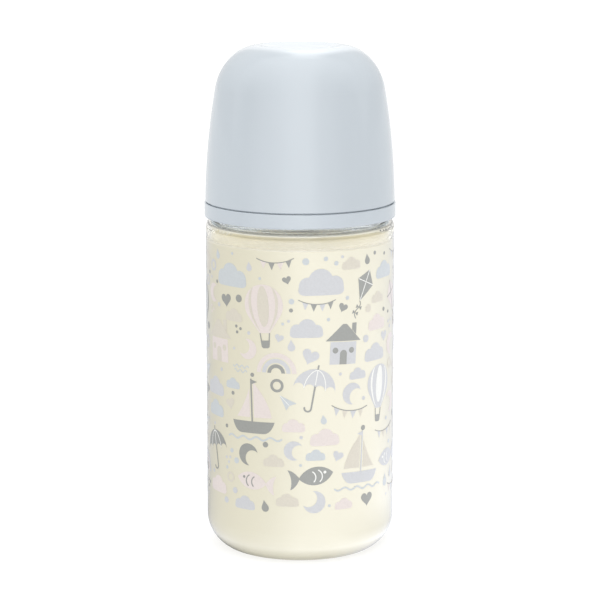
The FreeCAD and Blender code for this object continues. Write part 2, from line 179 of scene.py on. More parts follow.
def bottle_plastic(name, colour):
    """Polished plastic, milky and faintly amber up to the shoulder, clear in the shoulder and the neck.

    Hidden faces inside the milky wall and the clear neck get a painted glow that stands in for daylight seeping
    through. The dark edges that a clear shoulder shows where it bends the view under the ring are painted on as thin
    lines."""
    m, nt, bsdf, _ = new_material(name)
    vec = coords(nt)
    x, y, z = split(nt, vec)
    reach = calc(nt, "SQRT", calc(nt, "ADD", calc(nt, "MULTIPLY", x, x), calc(nt, "MULTIPLY", y, y)))
    clear = graph(nt, z, [(0.0, 0.0), (0.1069, 0.0), (0.1072, 0.75), (0.1096, 0.8), (0.1106, 0.98), (0.13, 0.98)])
    flow = noise(nt, stretch(nt, vec, 1.0, 1.0, 0.3), 38.0, 3.0, 0.5, 0.4)
    milk = two_tone(nt, flow, shade(colour, 0.985), shade(colour, 1.015))
    mix = nt.nodes.new("ShaderNodeMix")
    mix.data_type = "RGBA"
    nt.links.new(clear, mix.inputs["Factor"])
    nt.links.new(milk, mix.inputs[6])
    mix.inputs[7].default_value = (0.97, 0.965, 0.92, 1)
    # painted shade: a darker band in the base colour at the top of the straight wall, standing in for a dark line the
    # clear shoulder shows
    line = nt.nodes.new("ShaderNodeMix")
    line.data_type = "RGBA"
    nt.links.new(graph(nt, z, [(0.0, 0.0), (0.1102, 0.0), (0.1105, 0.8), (0.1108, 0.8), (0.1111, 0.0), (0.13, 0.0)]), line.inputs["Factor"])
    nt.links.new(mix.outputs[2], line.inputs[6])
    line.inputs[7].default_value = (0.55, 0.53, 0.44, 1)
    # painted shade: a near-black band in the base colour on the shoulder, standing in for the dark edge where the clear
    # shoulder bends the view under the ring
    painted_dark_edge = nt.nodes.new("ShaderNodeMix")
    painted_dark_edge.data_type = "RGBA"
    nt.links.new(graph(nt, z, [(0.0, 0.0), (0.1117, 0.0), (0.11197, 0.85), (0.11243, 0.85), (0.1127, 0.0), (0.13, 0.0)]), painted_dark_edge.inputs["Factor"])
    nt.links.new(line.outputs[2], painted_dark_edge.inputs[6])
    painted_dark_edge.inputs[7].default_value = (0.05, 0.05, 0.045, 1)
    nt.links.new(painted_dark_edge.outputs[2], bsdf.inputs["Base Color"])
    nt.links.new(clear, bsdf.inputs["Transmission Weight"])
    bsdf.inputs["IOR"].default_value = 1.5
    nt.links.new(remap(nt, clear, 0.28, 0.04, 0.0, 0.9), bsdf.inputs["Roughness"])
    nt.links.new(calc(nt, "SUBTRACT", 1.0, clear), bsdf.inputs["Coat Weight"])
    bsdf.inputs["Coat Roughness"].default_value = 0.03
    bsdf.inputs["Coat IOR"].default_value = 1.5
    # painted glow on the hidden inner face of the milky wall, stronger towards the sides: it stands in for daylight
    # seeping through
    inner = calc(nt, "MULTIPLY", remap(nt, reach, 1.0, 0.0, 0.0304, 0.0308), remap(nt, z, 0.0, 1.0, 0.008, 0.014))
    inner = calc(nt, "MULTIPLY", inner, calc(nt, "SUBTRACT", 1.0, clear))
    # colour of the painted glow: warm in the milky wall, bluish in the neck
    nt.links.new(two_tone(nt, z, (1.0, 0.95, 0.80), (0.90, 0.95, 1.0), 0.1110, 0.1116), bsdf.inputs["Emission Color"])
    turn = calc(nt, "MULTIPLY", calc(nt, "ARCTAN2", x, calc(nt, "MULTIPLY", y, -1.0)), 180 / math.pi)
    painted_glow = graph(nt, turn, [(-180, 0.18), (-165, 0.22), (-145, 0.33), (-122, 0.42), (-90, 0.42), (0, 0.3), (90, 0.42), (122, 0.44),
                            (145, 0.38), (165, 0.22), (180, 0.18)])
    # painted glow on the neck inside the ring, brightest high up
    neck = calc(nt, "MULTIPLY", graph(nt, z, [(0.0, 0.0), (0.1117, 0.0), (0.1119, 0.14), (0.1146, 0.14), (0.1152, 0.03), (0.1192, 0.03),
                                       (0.1198, 0.3), (0.13, 0.3)]),
                remap(nt, reach, 1.0, 0.0, 0.0268, 0.0274))
    nt.links.new(calc(nt, "ADD", calc(nt, "MULTIPLY", inner, painted_glow), neck), bsdf.inputs["Emission Strength"])
    m.cycles.emission_sampling = "NONE"
    wave = noise(nt, stretch(nt, vec, 1.0, 1.0, 0.25), 45.0, 2.0, 0.45)
    soft = bump(nt, bsdf, calc(nt, "MULTIPLY", wave, calc(nt, "SUBTRACT", 1.0, clear)), 0.04, 0.0005)
    nt.links.new(soft, bsdf.inputs["Normal"])
    nt.links.new(soft, bsdf.inputs["Coat Normal"])
    return m


def silicone(name):
    """Translucent milky silicone."""
    m, nt, bsdf, _ = new_material(name)
    vec = coords(nt)
    cloud = noise(nt, vec, 120.0, 4.0, 0.55)
    nt.links.new(two_tone(nt, cloud, (0.925, 0.92, 0.89), (0.965, 0.96, 0.94)), bsdf.inputs["Base Color"])
    bsdf.inputs["Transmission Weight"].default_value = 0.35
    bsdf.inputs["IOR"].default_value = 1.41
    bsdf.inputs["Subsurface Weight"].default_value = 0.5
    bsdf.inputs["Subsurface Radius"].default_value = (0.004, 0.0035, 0.003)
    bsdf.inputs["Subsurface Scale"].default_value = 1.0
    nt.links.new(remap(nt, noise(nt, vec, 90.0, 2.0, 0.4), 0.36, 0.42), bsdf.inputs["Roughness"])
    nt.links.new(bump(nt, bsdf, noise(nt, vec, 220.0, 2.0, 0.5), 0.05, 0.0001), bsdf.inputs["Normal"])
    return m


def ink_material(name, colour):
    """Screen-printed ink under a thin clear lacquer: slightly uneven coverage."""
    m, nt, bsdf, _ = new_material(name)
    vec = coords(nt)
    cover = noise(nt, vec, 1500.0, 4.0, 0.65)
    nt.links.new(two_tone(nt, cover, shade(colour, 0.965), shade(colour, 1.03)), bsdf.inputs["Base Color"])
    nt.links.new(remap(nt, noise(nt, vec, 700.0, 3.0, 0.6), 0.50, 0.66), bsdf.inputs["Roughness"])
    bsdf.inputs["Specular IOR Level"].default_value = 0.3
    bsdf.inputs["Coat Weight"].default_value = 1.0
    bsdf.inputs["Coat Roughness"].default_value = 0.05
    bsdf.inputs["Coat IOR"].default_value = 1.28
    nt.links.new(bump(nt, bsdf, cover, 0.10, 0.00001), bsdf.inputs["Normal"])
    return m


SHELL = (0.503, 0.551, 0.593)
CREAM = (0.664, 0.628, 0.480)
plastic = moulded_plastic("cap_plastic", SHELL, 0.13, 0.04)
# the ring gets a painted glow on its hidden skirt faces
ring_plastic = moulded_plastic("ring_plastic", SHELL, 0.14, 0.04, 1.0)
milky = bottle_plastic("bottle_plastic", CREAM)
rubber = silicone("teat_silicone")
INKS = {
    "grey": ink_material("ink_grey", lin(147, 148, 143)),
    "lilac": ink_material("ink_lilac", lin(197, 198, 200)),
    "pink": ink_material("ink_pink", lin(218, 208, 203)),
    "beige": ink_material("ink_beige", lin(207, 201, 187)),
    "blue": ink_material("ink_blue", lin(193, 198, 200)),
    "white": ink_material("ink_white", lin(231, 231, 226)),
}
for node, m in (("cap", plastic), ("screw_ring", ring_plastic), ("bottle", milky), ("teat", rubber)):
    mats = NODES[node].data.materials
    mats.clear()
    mats.append(m)


# ------------------------------------------------------- flat artwork, in mm
def arc(cx, cy, r, a0, a1, n=None):
    n = n or max(6, int(abs(a1 - a0) / 9))
    return [(cx + r * math.cos(math.radians(a0 + (a1 - a0) * i / n)),
             cy + r * math.sin(math.radians(a0 + (a1 - a0) * i / n))) for i in range(n + 1)]


def disc(cx, cy, r, ry=None, n=None):
    n = n or max(14, int(14 + r * 5))
    ry = ry or r
    return [(cx + r * math.cos(2 * math.pi * i / n), cy + ry * math.sin(2 * math.pi * i / n)) for i in range(n)]


def bez(p0, p1, p2, p3, n=10):
    out = []
    for i in range(n + 1):
        t = i / n
        a, b, c, d = (1 - t) ** 3, 3 * t * (1 - t) ** 2, 3 * t * t * (1 - t), t ** 3
        out.append((a * p0[0] + b * p1[0] + c * p2[0] + d * p3[0], a * p0[1] + b * p1[1] + c * p2[1] + d * p3[1]))
    return out


def ribbon(pts, w):
    """Outline of a round-ended line of width w along pts."""
    h = w / 2
    dirs = []
    for i in range(len(pts) - 1):
        dx, dy = pts[i + 1][0] - pts[i][0], pts[i + 1][1] - pts[i][1]
        k = math.hypot(dx, dy) or 1e-9
        dirs.append((dx / k, dy / k))
    left, right = [], []
    for i, p in enumerate(pts):
        a = dirs[max(0, i - 1)]
        b = dirs[min(len(dirs) - 1, i)]
        tx, ty = a[0] + b[0], a[1] + b[1]
        k = math.hypot(tx, ty) or 1e-9
        tx, ty = tx / k, ty / k
        s = min(1.6, 1.0 / max(0.3, tx * a[0] + ty * a[1])) * h
        left.append((p[0] - ty * s, p[1] + tx * s))
        right.append((p[0] + ty * s, p[1] - tx * s))
    a_end = math.degrees(math.atan2(dirs[-1][1], dirs[-1][0]))
    a_start = math.degrees(math.atan2(dirs[0][1], dirs[0][0]))
    cap_end = arc(pts[-1][0], pts[-1][1], h, a_end + 90, a_end - 90, 6)[1:-1]
    cap_start = arc(pts[0][0], pts[0][1], h, a_start - 90, a_start - 270, 6)[1:-1]
    loop = left + cap_end + right[::-1] + cap_start
    return loop[::-1]


def moved(loops, x, y, size, turn=0.0, flip=False):
    c, s = math.cos(math.radians(turn)), math.sin(math.radians(turn))
    out = []
    for loop in loops:
        new = []
        for u, v in loop:
            if flip:
                u = -u
            new.append((x + size * (c * u - s * v), y + size * (s * u + c * v)))
        out.append(new)
    return out


# Each motif is a list of (ink, level, loops); the size of a motif is about 1.
# A is its main ink, B its second ink.
def cloud(A, B):
    humps = [(-0.36, 0.0, 0.14), (-0.30, 0.10, 0.19), (-0.02, 0.20, 0.27), (0.29, 0.11, 0.20), (0.36, 0.0, 0.14)]
    top = []
    for i in range(61):
        x = -0.5 + i / 60
        y = max(cy + math.sqrt(r * r - (x - cx) ** 2) for cx, cy, r in humps if abs(x - cx) <= r + 1e-9) \
            if any(abs(x - cx) < r for cx, cy, r in humps) else 0.0
        top.append((x, y - 0.14))
    right = [(0.36 + 0.14 * math.cos(math.radians(t)), -0.14 + 0.10 * math.sin(math.radians(t))) for t in range(-15, -91, -15)]
    left = [(-0.36 + 0.14 * math.cos(math.radians(t)), -0.14 + 0.10 * math.sin(math.radians(t))) for t in range(-90, -179, -15)]
    return [(A, 0, [top + right + left])]


def balloon(A, B):
    env = arc(0, 0.16, 0.5, -38, 218, 34) + [(-0.13, -0.52), (0.13, -0.52)]
    gore = disc(0, 0.13, 0.15, 0.50, 26)
    side1 = [(x, y) for x, y in bez((0.28, 0.57), (0.47, 0.30), (0.40, -0.10), (0.13, -0.47), 10)] + \
            [(x, y) for x, y in bez((0.11, -0.47), (0.33, -0.10), (0.37, 0.30), (0.24, 0.59), 10)]
    side2 = [(-x, y) for x, y in side1]
    basket = [(-0.12, -0.70), (0.12, -0.70), (0.10, -0.86), (0.06, -0.89), (-0.06, -0.89), (-0.10, -0.86)][::-1]
    rope1, rope2 = ribbon([(-0.12, -0.53), (-0.10, -0.70)], 0.028), ribbon([(0.12, -0.53), (0.10, -0.70)], 0.028)
    return [(A, 0, [env]), (B, 1, [gore]), (B, 1, [side1]), (B, 1, [side2]),
            ("grey", 0, [basket]), ("grey", 1, [rope1]), ("grey", 1, [rope2])]


def boat(A, B):
    hull = [(-0.52, -0.20), (0.52, -0.20)] + bez((0.52, -0.20), (0.46, -0.38), (0.36, -0.46), (0.26, -0.46), 8)[1:] + \
        bez((-0.28, -0.46), (-0.38, -0.46), (-0.47, -0.38), (-0.52, -0.20), 8)[:-1]
    sail = bez((0.05, 0.66), (0.30, 0.40), (0.44, 0.10), (0.46, -0.11), 12) + [(0.05, -0.11)]
    jib = bez((-0.05, 0.52), (-0.14, 0.26), (-0.28, 0.02), (-0.40, -0.11), 10) + [(-0.05, -0.11)]
    mast = ribbon([(0.0, -0.2), (0.0, 0.72)], 0.035)
    flag = [(0.0, 0.72), (0.15, 0.67), (0.0, 0.61)]
    wave = ribbon([(-0.66 + 1.32 * i / 36, -0.57 + 0.035 * math.sin(i * math.pi / 4.5)) for i in range(37)], 0.04)
    return [(A, 0, [hull]), (B, 0, [sail]), (B, 0, [jib]), (A, 1, [mast]), (A, 1, [flag]), ("blue", 0, [wave])]


def umbrella(A, B):
    top = arc(0, 0.02, 0.5, 0, 180, 24)
    scal = []
    for k in range(4):
        cx = -0.375 + 0.25 * k
        scal += arc(cx, 0.02, 0.125, 180, 0, 8)[1:]
    canopy = top + scal[:-1]
    ribs = [ribbon(bez((0, 0.50), (x * 0.6, 0.46), (x, 0.25), (x * 1.02, 0.05), 8), 0.022) for x in (-0.25, 0.25)]
    ribs.append(ribbon([(0, 0.50), (0, 0.12)], 0.022))
    stem = ribbon([(0, 0.12), (0, -0.42)] + arc(-0.08, -0.42, 0.08, 0, -180, 10)[1:], 0.04)
    tip = ribbon([(0, 0.52), (0, 0.60)], 0.04)
    return [(A, 0, [canopy]), ("grey", 0, [tip]), ("grey", 1, [stem])] + [(B, 1, [r]) for r in ribs]


def house(A, B):
    wall = [(-0.34, -0.45), (0.34, -0.45), (0.34, 0.08), (-0.34, 0.08)]
    roof = [(-0.46, 0.10), (0.46, 0.10), (0.05, 0.50), (-0.05, 0.50)]
    door = [(-0.09, -0.45)] + [(0.09, -0.45), (0.09, -0.20)] + arc(0, -0.20, 0.09, 0, 180, 10)[1:]
    win1, win2 = disc(-0.21, -0.12, 0.07, n=16), disc(0.21, -0.12, 0.07, n=16)
    pipe = [(0.20, 0.36), (0.32, 0.25), (0.32, 0.52), (0.20, 0.52)]
    return [(B, 0, [wall]), (A, 0, [roof]), (A, 0, [pipe]), (A, 1, [door]), (A, 1, [win1]), (A, 1, [win2])]


def kite(A, B):
    body = [(0, 0.52), (-0.33, 0.14), (0, -0.46), (0.33, 0.14)]
    spine, spar = ribbon([(0, 0.50), (0, -0.45)], 0.026), ribbon([(-0.31, 0.14), (0.31, 0.14)], 0.026)
    tail = ribbon(bez((0, -0.46), (0.22, -0.62), (-0.22, -0.78), (0.06, -0.98), 14), 0.03)
    bows = []
    for x, y in ((0.04, -0.64), (-0.02, -0.84)):
        bows.append([(x, y), (x + 0.10, y + 0.06), (x + 0.10, y - 0.06)])
        bows.append([(x, y), (x - 0.10, y - 0.06), (x - 0.10, y + 0.06)])
    return [(A, 0, [body]), (B, 1, [spine]), (B, 1, [spar]), ("grey", 0, [tail])] + [(A, 1, [b]) for b in bows]


def fish(A, B):
    body = bez((-0.32, 0), (-0.10, 0.30), (0.28, 0.28), (0.48, 0.02), 12) + \
        bez((0.48, 0.02), (0.28, -0.26), (-0.10, -0.28), (-0.32, 0), 12)[1:-1]
    tail = [(-0.29, 0.0)] + bez((-0.33, 0.06), (-0.42, 0.20), (-0.50, 0.22), (-0.54, 0.23), 6) + \
        bez((-0.54, 0.23), (-0.47, 0.08), (-0.47, -0.08), (-0.54, -0.23), 6)[1:] + \
        bez((-0.54, -0.23), (-0.50, -0.22), (-0.42, -0.20), (-0.33, -0.06), 6)[1:]
    eye = disc(0.29, 0.06, 0.035, n=14)
    gill = ribbon(arc(0.06, 0.0, 0.16, 55, -55, 10), 0.028)
    gill2 = ribbon(arc(-0.08, 0.0, 0.15, 50, -50, 10), 0.028)
    return [(A, 0, [body[::-1]]), (A, 0, [tail]), (B, 1, [eye]), (B, 1, [gill]), (B, 1, [gill2])]


def rainbow(A, B):
    out = []
    for ink, r0, r1 in ((A, 0.50, 0.39), (B, 0.355, 0.255), ("grey", 0.22, 0.13)):
        out.append((ink, 0, [arc(0, -0.2, r0, 0, 180, 22) + arc(0, -0.2, r1, 180, 0, 18)]))
    return out


def moon(A, B):
    outer = arc(0, 0, 0.5, 50, 310, 30)
    x0, y0 = 0.5 * math.cos(math.radians(50)), 0.5 * math.sin(math.radians(50))
    cx = 0.30
    r = math.hypot(x0 - cx, y0)
    a = math.degrees(math.atan2(y0, x0 - cx))
    inner = arc(cx, 0, r, -a, -360 + a, 24)
    return [(A, 0, [outer + inner[1:-1]])]


def heart(A, B):
    pts = []
    for i in range(36):
        t = 2 * math.pi * i / 36
        pts.append((0.031 * 16 * math.sin(t) ** 3,
                    0.031 * (13 * math.cos(t) - 5 * math.cos(2 * t) - 2 * math.cos(3 * t) - math.cos(4 * t))))
    return [(A, 0, [pts[::-1]])]


def drop(A, B):
    loop = [(0, 0.55)] + bez((0, 0.55), (-0.10, 0.28), (-0.32, 0.08), (-0.32, -0.14), 8)[1:] + \
        arc(0, -0.14, 0.32, 180, 360, 18)[1:] + bez((0.32, -0.14), (0.32, 0.08), (0.10, 0.28), (0, 0.55), 8)[1:-1]
    return [(A, 0, [loop])]


def ring(A, B):
    return [(A, 0, [disc(0, 0, 0.5), disc(0, 0, 0.30)[::-1]])]


def dot(A, B):
    return [(A, 0, [disc(0, 0, 0.5)])]


def three(A, B):
    return [(A, 0, [disc(math.cos(t) * 0.36, math.sin(t) * 0.36, 0.17, n=16)]) for t in (0.5, 2.6, 4.7)]


def wave(A, B):
    return [(A, 0, [ribbon([(-0.5 + i / 30, 0.07 * math.sin(i * math.pi / 5)) for i in range(31)], 0.055)]),
            (A, 0, [ribbon([(-0.40 + i / 30, -0.24 + 0.07 * math.sin(i * math.pi / 5)) for i in range(25)], 0.055)])]


def dart(A, B):
    wing = [(-0.50, 0.14), (-0.14, -0.06), (-0.02, -0.36), (0.52, 0.40)]
    fold = ribbon([(-0.13, -0.06), (0.48, 0.37)], 0.03)
    return [(A, 0, [wing]), (B, 1, [fold])]


def bunting(A, B):
    line = bez((-0.6, 0.14), (-0.25, -0.04), (0.25, -0.04), (0.6, 0.14), 18)
    out = [("grey", 1, [ribbon(line, 0.026)])]
    for i, ink in ((2, A), (6, B), (10, A), (14, B)):
        p, q = line[i], line[i + 3]
        m = ((p[0] + q[0]) / 2, (p[1] + q[1]) / 2 - 0.24)
        out.append((ink, 0, [[p, m, q]]))
    return out


# --------------------------------------------------- winding it on the bottle
STEP = 1.4
LEVELS = ((0.008, 0.030), (0.036, 0.054))
SHELLS = {k: ([], []) for k in INKS}  # vertices, faces


def area2(loop):
    return sum(loop[i][0] * loop[(i + 1) % len(loop)][1] - loop[(i + 1) % len(loop)][0] * loop[i][1]
               for i in range(len(loop)))


def wind(bm, ink, level):
    """Cuts the flat faces in strips, bends them round the wall and gives them a thickness."""
    us = [v.co.x for v in bm.verts]
    for k in range(math.floor(min(us) / STEP), math.ceil(max(us) / STEP) + 1):
        bmesh.ops.bisect_plane(bm, geom=bm.verts[:] + bm.edges[:] + bm.faces[:], dist=1e-6,
                               plane_co=(k * STEP, 0, 0), plane_no=(1, 0, 0))
    bmesh.ops.triangulate(bm, faces=bm.faces[:])
    bm.verts.index_update()
    verts, faces = SHELLS[ink]
    base = len(verts)
    n = len(bm.verts)
    r0, r1 = WALL + LEVELS[level][0], WALL + LEVELS[level][1]
    for r in (r1, r0):
        for v in bm.verts:
            a = v.co.x / WALL
            verts.append((r * math.sin(a) / 1000, -r * math.cos(a) / 1000, v.co.y / 1000))
    edges = {}
    for f in bm.faces:
        idx = [v.index for v in f.verts]
        p = [f.verts[i].co for i in range(3)]
        turn = (p[1].x - p[0].x) * (p[2].y - p[0].y) - (p[2].x - p[0].x) * (p[1].y - p[0].y)
        if abs(turn) < 1e-9:
            continue
        if turn < 0:
            idx.reverse()
        faces.append([base + i for i in idx])
        faces.append([base + n + i for i in reversed(idx)])
        for i in range(3):
            edges[(idx[i], idx[(i + 1) % 3])] = True
    for a, b in list(edges):
        if (b, a) not in edges:
            faces.append([base + n + a, base + n + b, base + b, base + a])


def draw(shapes, x, y, size, turn=0.0, flip=False):
    for ink, level, loops in shapes:
        loops = moved(loops, x, y, size, turn, flip)
        polys = [[Vector((u, v, 0)) for u, v in loop] for loop in loops]
        flat = [p for poly in polys for p in poly]
        bm = bmesh.new()
        vs = [bm.verts.new(p) for p in flat]
        for tri in tessellate_polygon(polys):
            try:
                bm.faces.new([vs[i] for i in tri])
            except ValueError:
                pass
        bmesh.ops.remove_doubles(bm, verts=bm.verts[:], dist=1e-5)
        wind(bm, ink, level)
        bm.free()


LOW, HIGH = 17.6, 106.0
TURN = 2 * math.pi * WALL
SCALE_U = math.radians(118) * WALL     # the measuring scale runs up the wall here
rng = random.Random(20)
placed = []

# discs that cover each motif, so that the small ones can nestle between the large ones
COVER = {
    balloon: [(0, 0.16, 0.53), (0, -0.30, 0.30), (0, -0.74, 0.19)],
    boat: [(0.06, 0.30, 0.38), (-0.30, -0.28, 0.30), (0.30, -0.28, 0.30), (0, -0.30, 0.32), (-0.52, -0.52, 0.16), (0.52, -0.52, 0.16)],
    umbrella: [(0, 0.10, 0.45), (-0.33, 0.10, 0.22), (0.33, 0.10, 0.22), (0, -0.36, 0.20)],
    house: [(0, 0.14, 0.46), (-0.22, -0.24, 0.28), (0.22, -0.24, 0.28), (0, -0.2, 0.34)],
    fish: [(0.22, 0.02, 0.28), (-0.08, 0, 0.25), (-0.45, 0, 0.24)],
    rainbow: [(-0.25, 0, 0.31), (0.25, 0, 0.31), (0, 0.08, 0.30)],
    cloud: [(-0.28, 0, 0.25), (0, 0.06, 0.33), (0.28, 0, 0.25)],
    kite: [(0, 0.08, 0.44), (0, -0.45, 0.22), (0, -0.78, 0.20)],
    moon: [(0, 0, 0.52)],
    bunting: [(-0.42, -0.02, 0.24), (-0.14, -0.1, 0.24), (0.14, -0.1, 0.24), (0.42, -0.02, 0.24)],
    dart: [(0, 0, 0.54)],
    wave: [(-0.28, -0.1, 0.28), (0, -0.1, 0.28), (0.28, -0.1, 0.28)],
    heart: [(0, 0, 0.56)],
    drop: [(0, 0.05, 0.56)],
    ring: [(0, 0, 0.55)],
    three: [(0, 0, 0.58)],
    dot: [(0, 0, 0.64)],
}


def spots(make, u, v, size, turn, flip):
    c, s = math.cos(math.radians(turn)), math.sin(math.radians(turn))
    out = []
    for x, y, r in COVER[make]:
        x = -x if flip else x
        out.append((u + size * (c * x - s * y), v + size * (s * x + c * y), size * r + 0.22))
    return out


def free(where):
    for u, v, r in where:
        if v - r < LOW or v + r > HIGH:
            return False
        du = (u - SCALE_U + TURN / 2) % TURN - TURN / 2
        if abs(du) < 10.5 + r:
            return False
        for pu, pv, pr in placed:
            d = (u - pu + TURN / 2) % TURN - TURN / 2
            if d * d + (v - pv) ** 2 < (r + pr) ** 2:
                return False
    return True


# the larger motifs stand in loose rows, listed one by one
deg = WALL * math.pi / 180
HERO = [
    # make, inks, azimuth in degrees, height, size, turn, flip
    (balloon, "pink", "beige", -22.2, 86.5, 13.8, 4, False),
    (house, "grey", "lilac", 27.0, 75.0, 14.3, -3, False),
    (boat, "grey", "pink", -30.0, 52.0, 15.6, 2, False),
    (umbrella, "lilac", "white", 8.5, 60.1, 14.4, -10, False),
    (boat, "lilac", "beige", 39.8, 34.0, 15.0, -3, True),
    (balloon, "lilac", "white", 56.0, 58.0, 12.7, -5, False),
    (fish, "grey", "white", 7.6, 30.8, 14.9, 8, False),
    (rainbow, "pink", "lilac", -14.3, 68.8, 13.7, 0, False),
    (cloud, "lilac", "lilac", 13.0, 96.0, 15.6, 0, False),
    (kite, "grey", "white", 42.0, 94.0, 11.2, -24, False),
    (house, "beige", "pink", -58.0, 74.0, 15.0, 2, False),
    (umbrella, "grey", "white", -61.8, 36.2, 13.1, 12, False),
    (cloud, "blue", "blue", -46.0, 97.0, 13.8, 0, False),
    (fish, "pink", "grey", -28.6, 28.2, 14.2, -6, True),
    (balloon, "grey", "white", -86.0, 84.0, 12.7, -4, False),
    (boat, "beige", "blue", -92.0, 54.0, 15.6, 0, True),
    (rainbow, "lilac", "pink", -84.2, 29.8, 14.3, 0, False),
    (kite, "pink", "grey", 74.0, 88.0, 11.9, 20, False),
    (fish, "lilac", "white", 68.2, 33.0, 14.2, 4, True),
    (balloon, "beige", "pink", -122.0, 66.0, 13.2, 5, False),
    (house, "lilac", "blue", -115.8, 92.0, 13.7, 0, False),
    (cloud, "pink", "pink", -142.2, 96.0, 15.0, 0, False),
    (umbrella, "blue", "white", -120.0, 36.0, 13.8, -8, True),
    (boat, "grey", "lilac", -152.0, 40.0, 15.6, -2, False),
    (kite, "lilac", "grey", -150.0, 74.0, 11.2, 14, False),
    (balloon, "pink", "lilac", 172.0, 84.0, 13.2, -3, False),
    (fish, "grey", "white", 176.0, 56.0, 14.2, 10, False),
    (rainbow, "beige", "lilac", 170.5, 28.3, 13.7, 0, False),
    (house, "grey", "beige", 149.3, 66.0, 13.7, 3, False),
    (umbrella, "pink", "white", 150.6, 92.0, 13.1, 9, False),
    (boat, "blue", "pink", 154.5, 43.7, 14.4, 2, True),
]
for make, A, B, az, v, size, turn, flip in HERO:
    placed.extend(spots(make, az * deg, v, size, turn, flip))
    draw(make(A, B), az * deg, v, size, turn, flip)

# smaller ones fill the gaps between them
FILL = [
    (cloud, (9.0, 11.5), 16, ("lilac", "beige", "pink", "blue"), 0),
    (moon, (6.4, 8.2), 18, ("grey", "lilac", "beige", "pink"), 40),
    (bunting, (10.0, 12.5), 12, ("pink", "lilac", "beige", "grey"), 8),
    (cloud, (6.4, 8.6), 30, ("lilac", "beige", "pink", "blue"), 0),
    (dart, (6.0, 7.8), 20, ("grey", "pink", "lilac", "blue"), 30),
    (heart, (4.6, 6.2), 26, ("grey", "pink", "lilac", "beige"), 24),
    (wave, (6.0, 8.0), 20, ("blue", "grey", "lilac"), 6),
    (ring, (3.6, 5.4), 30, ("lilac", "beige", "pink", "grey"), 0),
    (drop, (3.2, 4.6), 46, ("grey", "lilac", "blue"), 14),
    (heart, (3.0, 4.2), 40, ("grey", "pink", "lilac", "beige"), 24),
    (three, (3.0, 4.0), 36, ("grey", "pink", "lilac"), 180),
    (dot, (1.8, 3.4), 90, ("grey", "lilac", "pink", "beige", "blue"), 0),
    (dot, (1.0, 1.6), 90, ("grey", "lilac", "blue"), 0),
]
for make, (s0, s1), count, inks, sway in FILL:
    done = tries = 0
    while done < count and tries < 1500:
        tries += 1
        size = rng.uniform(s0, s1)
        u, v = rng.uniform(-TURN / 2, TURN / 2), rng.uniform(LOW, HIGH)
        turn, flip = rng.uniform(-sway, sway), rng.random() < 0.5
        where = spots(make, u, v, size, turn, flip)
        if not free(where):
            continue
        A = rng.choice(inks)
        B = "white" if A == "grey" else rng.choice(("grey", "white"))
        if make is bunting:
            B = rng.choice([i for i in inks if i != A])
        placed.extend(where)
        draw(make(A, B), u, v, size, turn, flip)
        done += 1

# measuring scale: a line every 10 ml, a long one and a number every 30 ml
INNER_AREA = math.pi * 30.3 ** 2
FLOOR_LOSS = 3.75        # mm of height that the rounded base takes from the volume


def level_of(ml):
    return FLOOR_LOSS + 2.0 + ml * 1000.0 / INNER_AREA


def number(text, x, y, high):
    cu = bpy.data.curves.new("digits", "FONT")
    cu.body = text
    cu.size = high
    cu.align_x, cu.align_y = "LEFT", "CENTER"
    cu.resolution_u = 4
    ob = bpy.data.objects.new("digits", cu)
    scene.collection.objects.link(ob)
    bpy.context.view_layer.update()
    me = bpy.data.meshes.new_from_object(ob.evaluated_get(bpy.context.evaluated_depsgraph_get()))
    bpy.data.objects.remove(ob)
    bpy.data.curves.remove(cu)
    bm = bmesh.new()
    bm.from_mesh(me)
    bpy.data.meshes.remove(me)
    bmesh.ops.remove_doubles(bm, verts=bm.verts[:], dist=1e-5)
    for v in bm.verts:
        v.co.x, v.co.y, v.co.z = v.co.x + x, v.co.y + y, 0.0
    wind(bm, "grey", 0)
    bm.free()


for ml in range(20, 271, 10):
    y = level_of(ml)
    long = ml % 30 == 0
    x0, x1 = SCALE_U - 6.0, SCALE_U - (0.6 if long else 3.2)
    draw([("grey", 0, [[(x0, y - 0.2), (x1, y - 0.2), (x1, y + 0.2), (x0, y + 0.2)]])], 0, 0, 1.0)
    if long:
        number(str(ml), SCALE_U + 0.6, y, 4.4)
number("ml", SCALE_U + 1.2, level_of(270) + 4.9, 4.0)

for ink, (verts, faces) in SHELLS.items():
    if not faces:
        continue
    me = bpy.data.meshes.new("print_" + ink)
    me.from_pydata(verts, [], faces)
    me.validate()
    me.polygons.foreach_set("use_smooth", [True] * len(me.polygons))
    me.set_sharp_from_angle(angle=math.radians(35))
    me.materials.append(INKS[ink])
    ob = bpy.data.objects.new("print_" + ink, me)
    scene.collection.objects.link(ob)
    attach(ob, "bottle")

# --------------------------------------------------------------- the studio
def stage_mesh(name, verts, faces, material):
    me = bpy.data.meshes.new(name)
    me.from_pydata(verts, [], faces)
    me.materials.append(material)
    ob = bpy.data.objects.new(name, me)
    scene.collection.objects.link(ob)
    return ob


m, nt, bsdf, _ = new_material("floor_white")
tone = noise(nt, coords(nt), 3.0, 2.0)
nt.links.new(two_tone(nt, tone, (0.295, 0.295, 0.295), (0.305, 0.305, 0.305)), bsdf.inputs["Base Color"])
bsdf.inputs["Roughness"].default_value = 0.8
bsdf.inputs["Specular IOR Level"].default_value = 0.1
bsdf.inputs["Emission Color"].default_value = (1.0, 1.0, 1.0, 1.0)
bsdf.inputs["Emission Strength"].default_value = 0.72
m.cycles.emission_sampling = "NONE"
F = 6.0
floor = stage_mesh("floor", [(-F, -F, -0.00005), (F, -F, -0.00005), (F, F, -0.00005), (-F, F, -0.00005)], [(0, 1, 2, 3)], m)

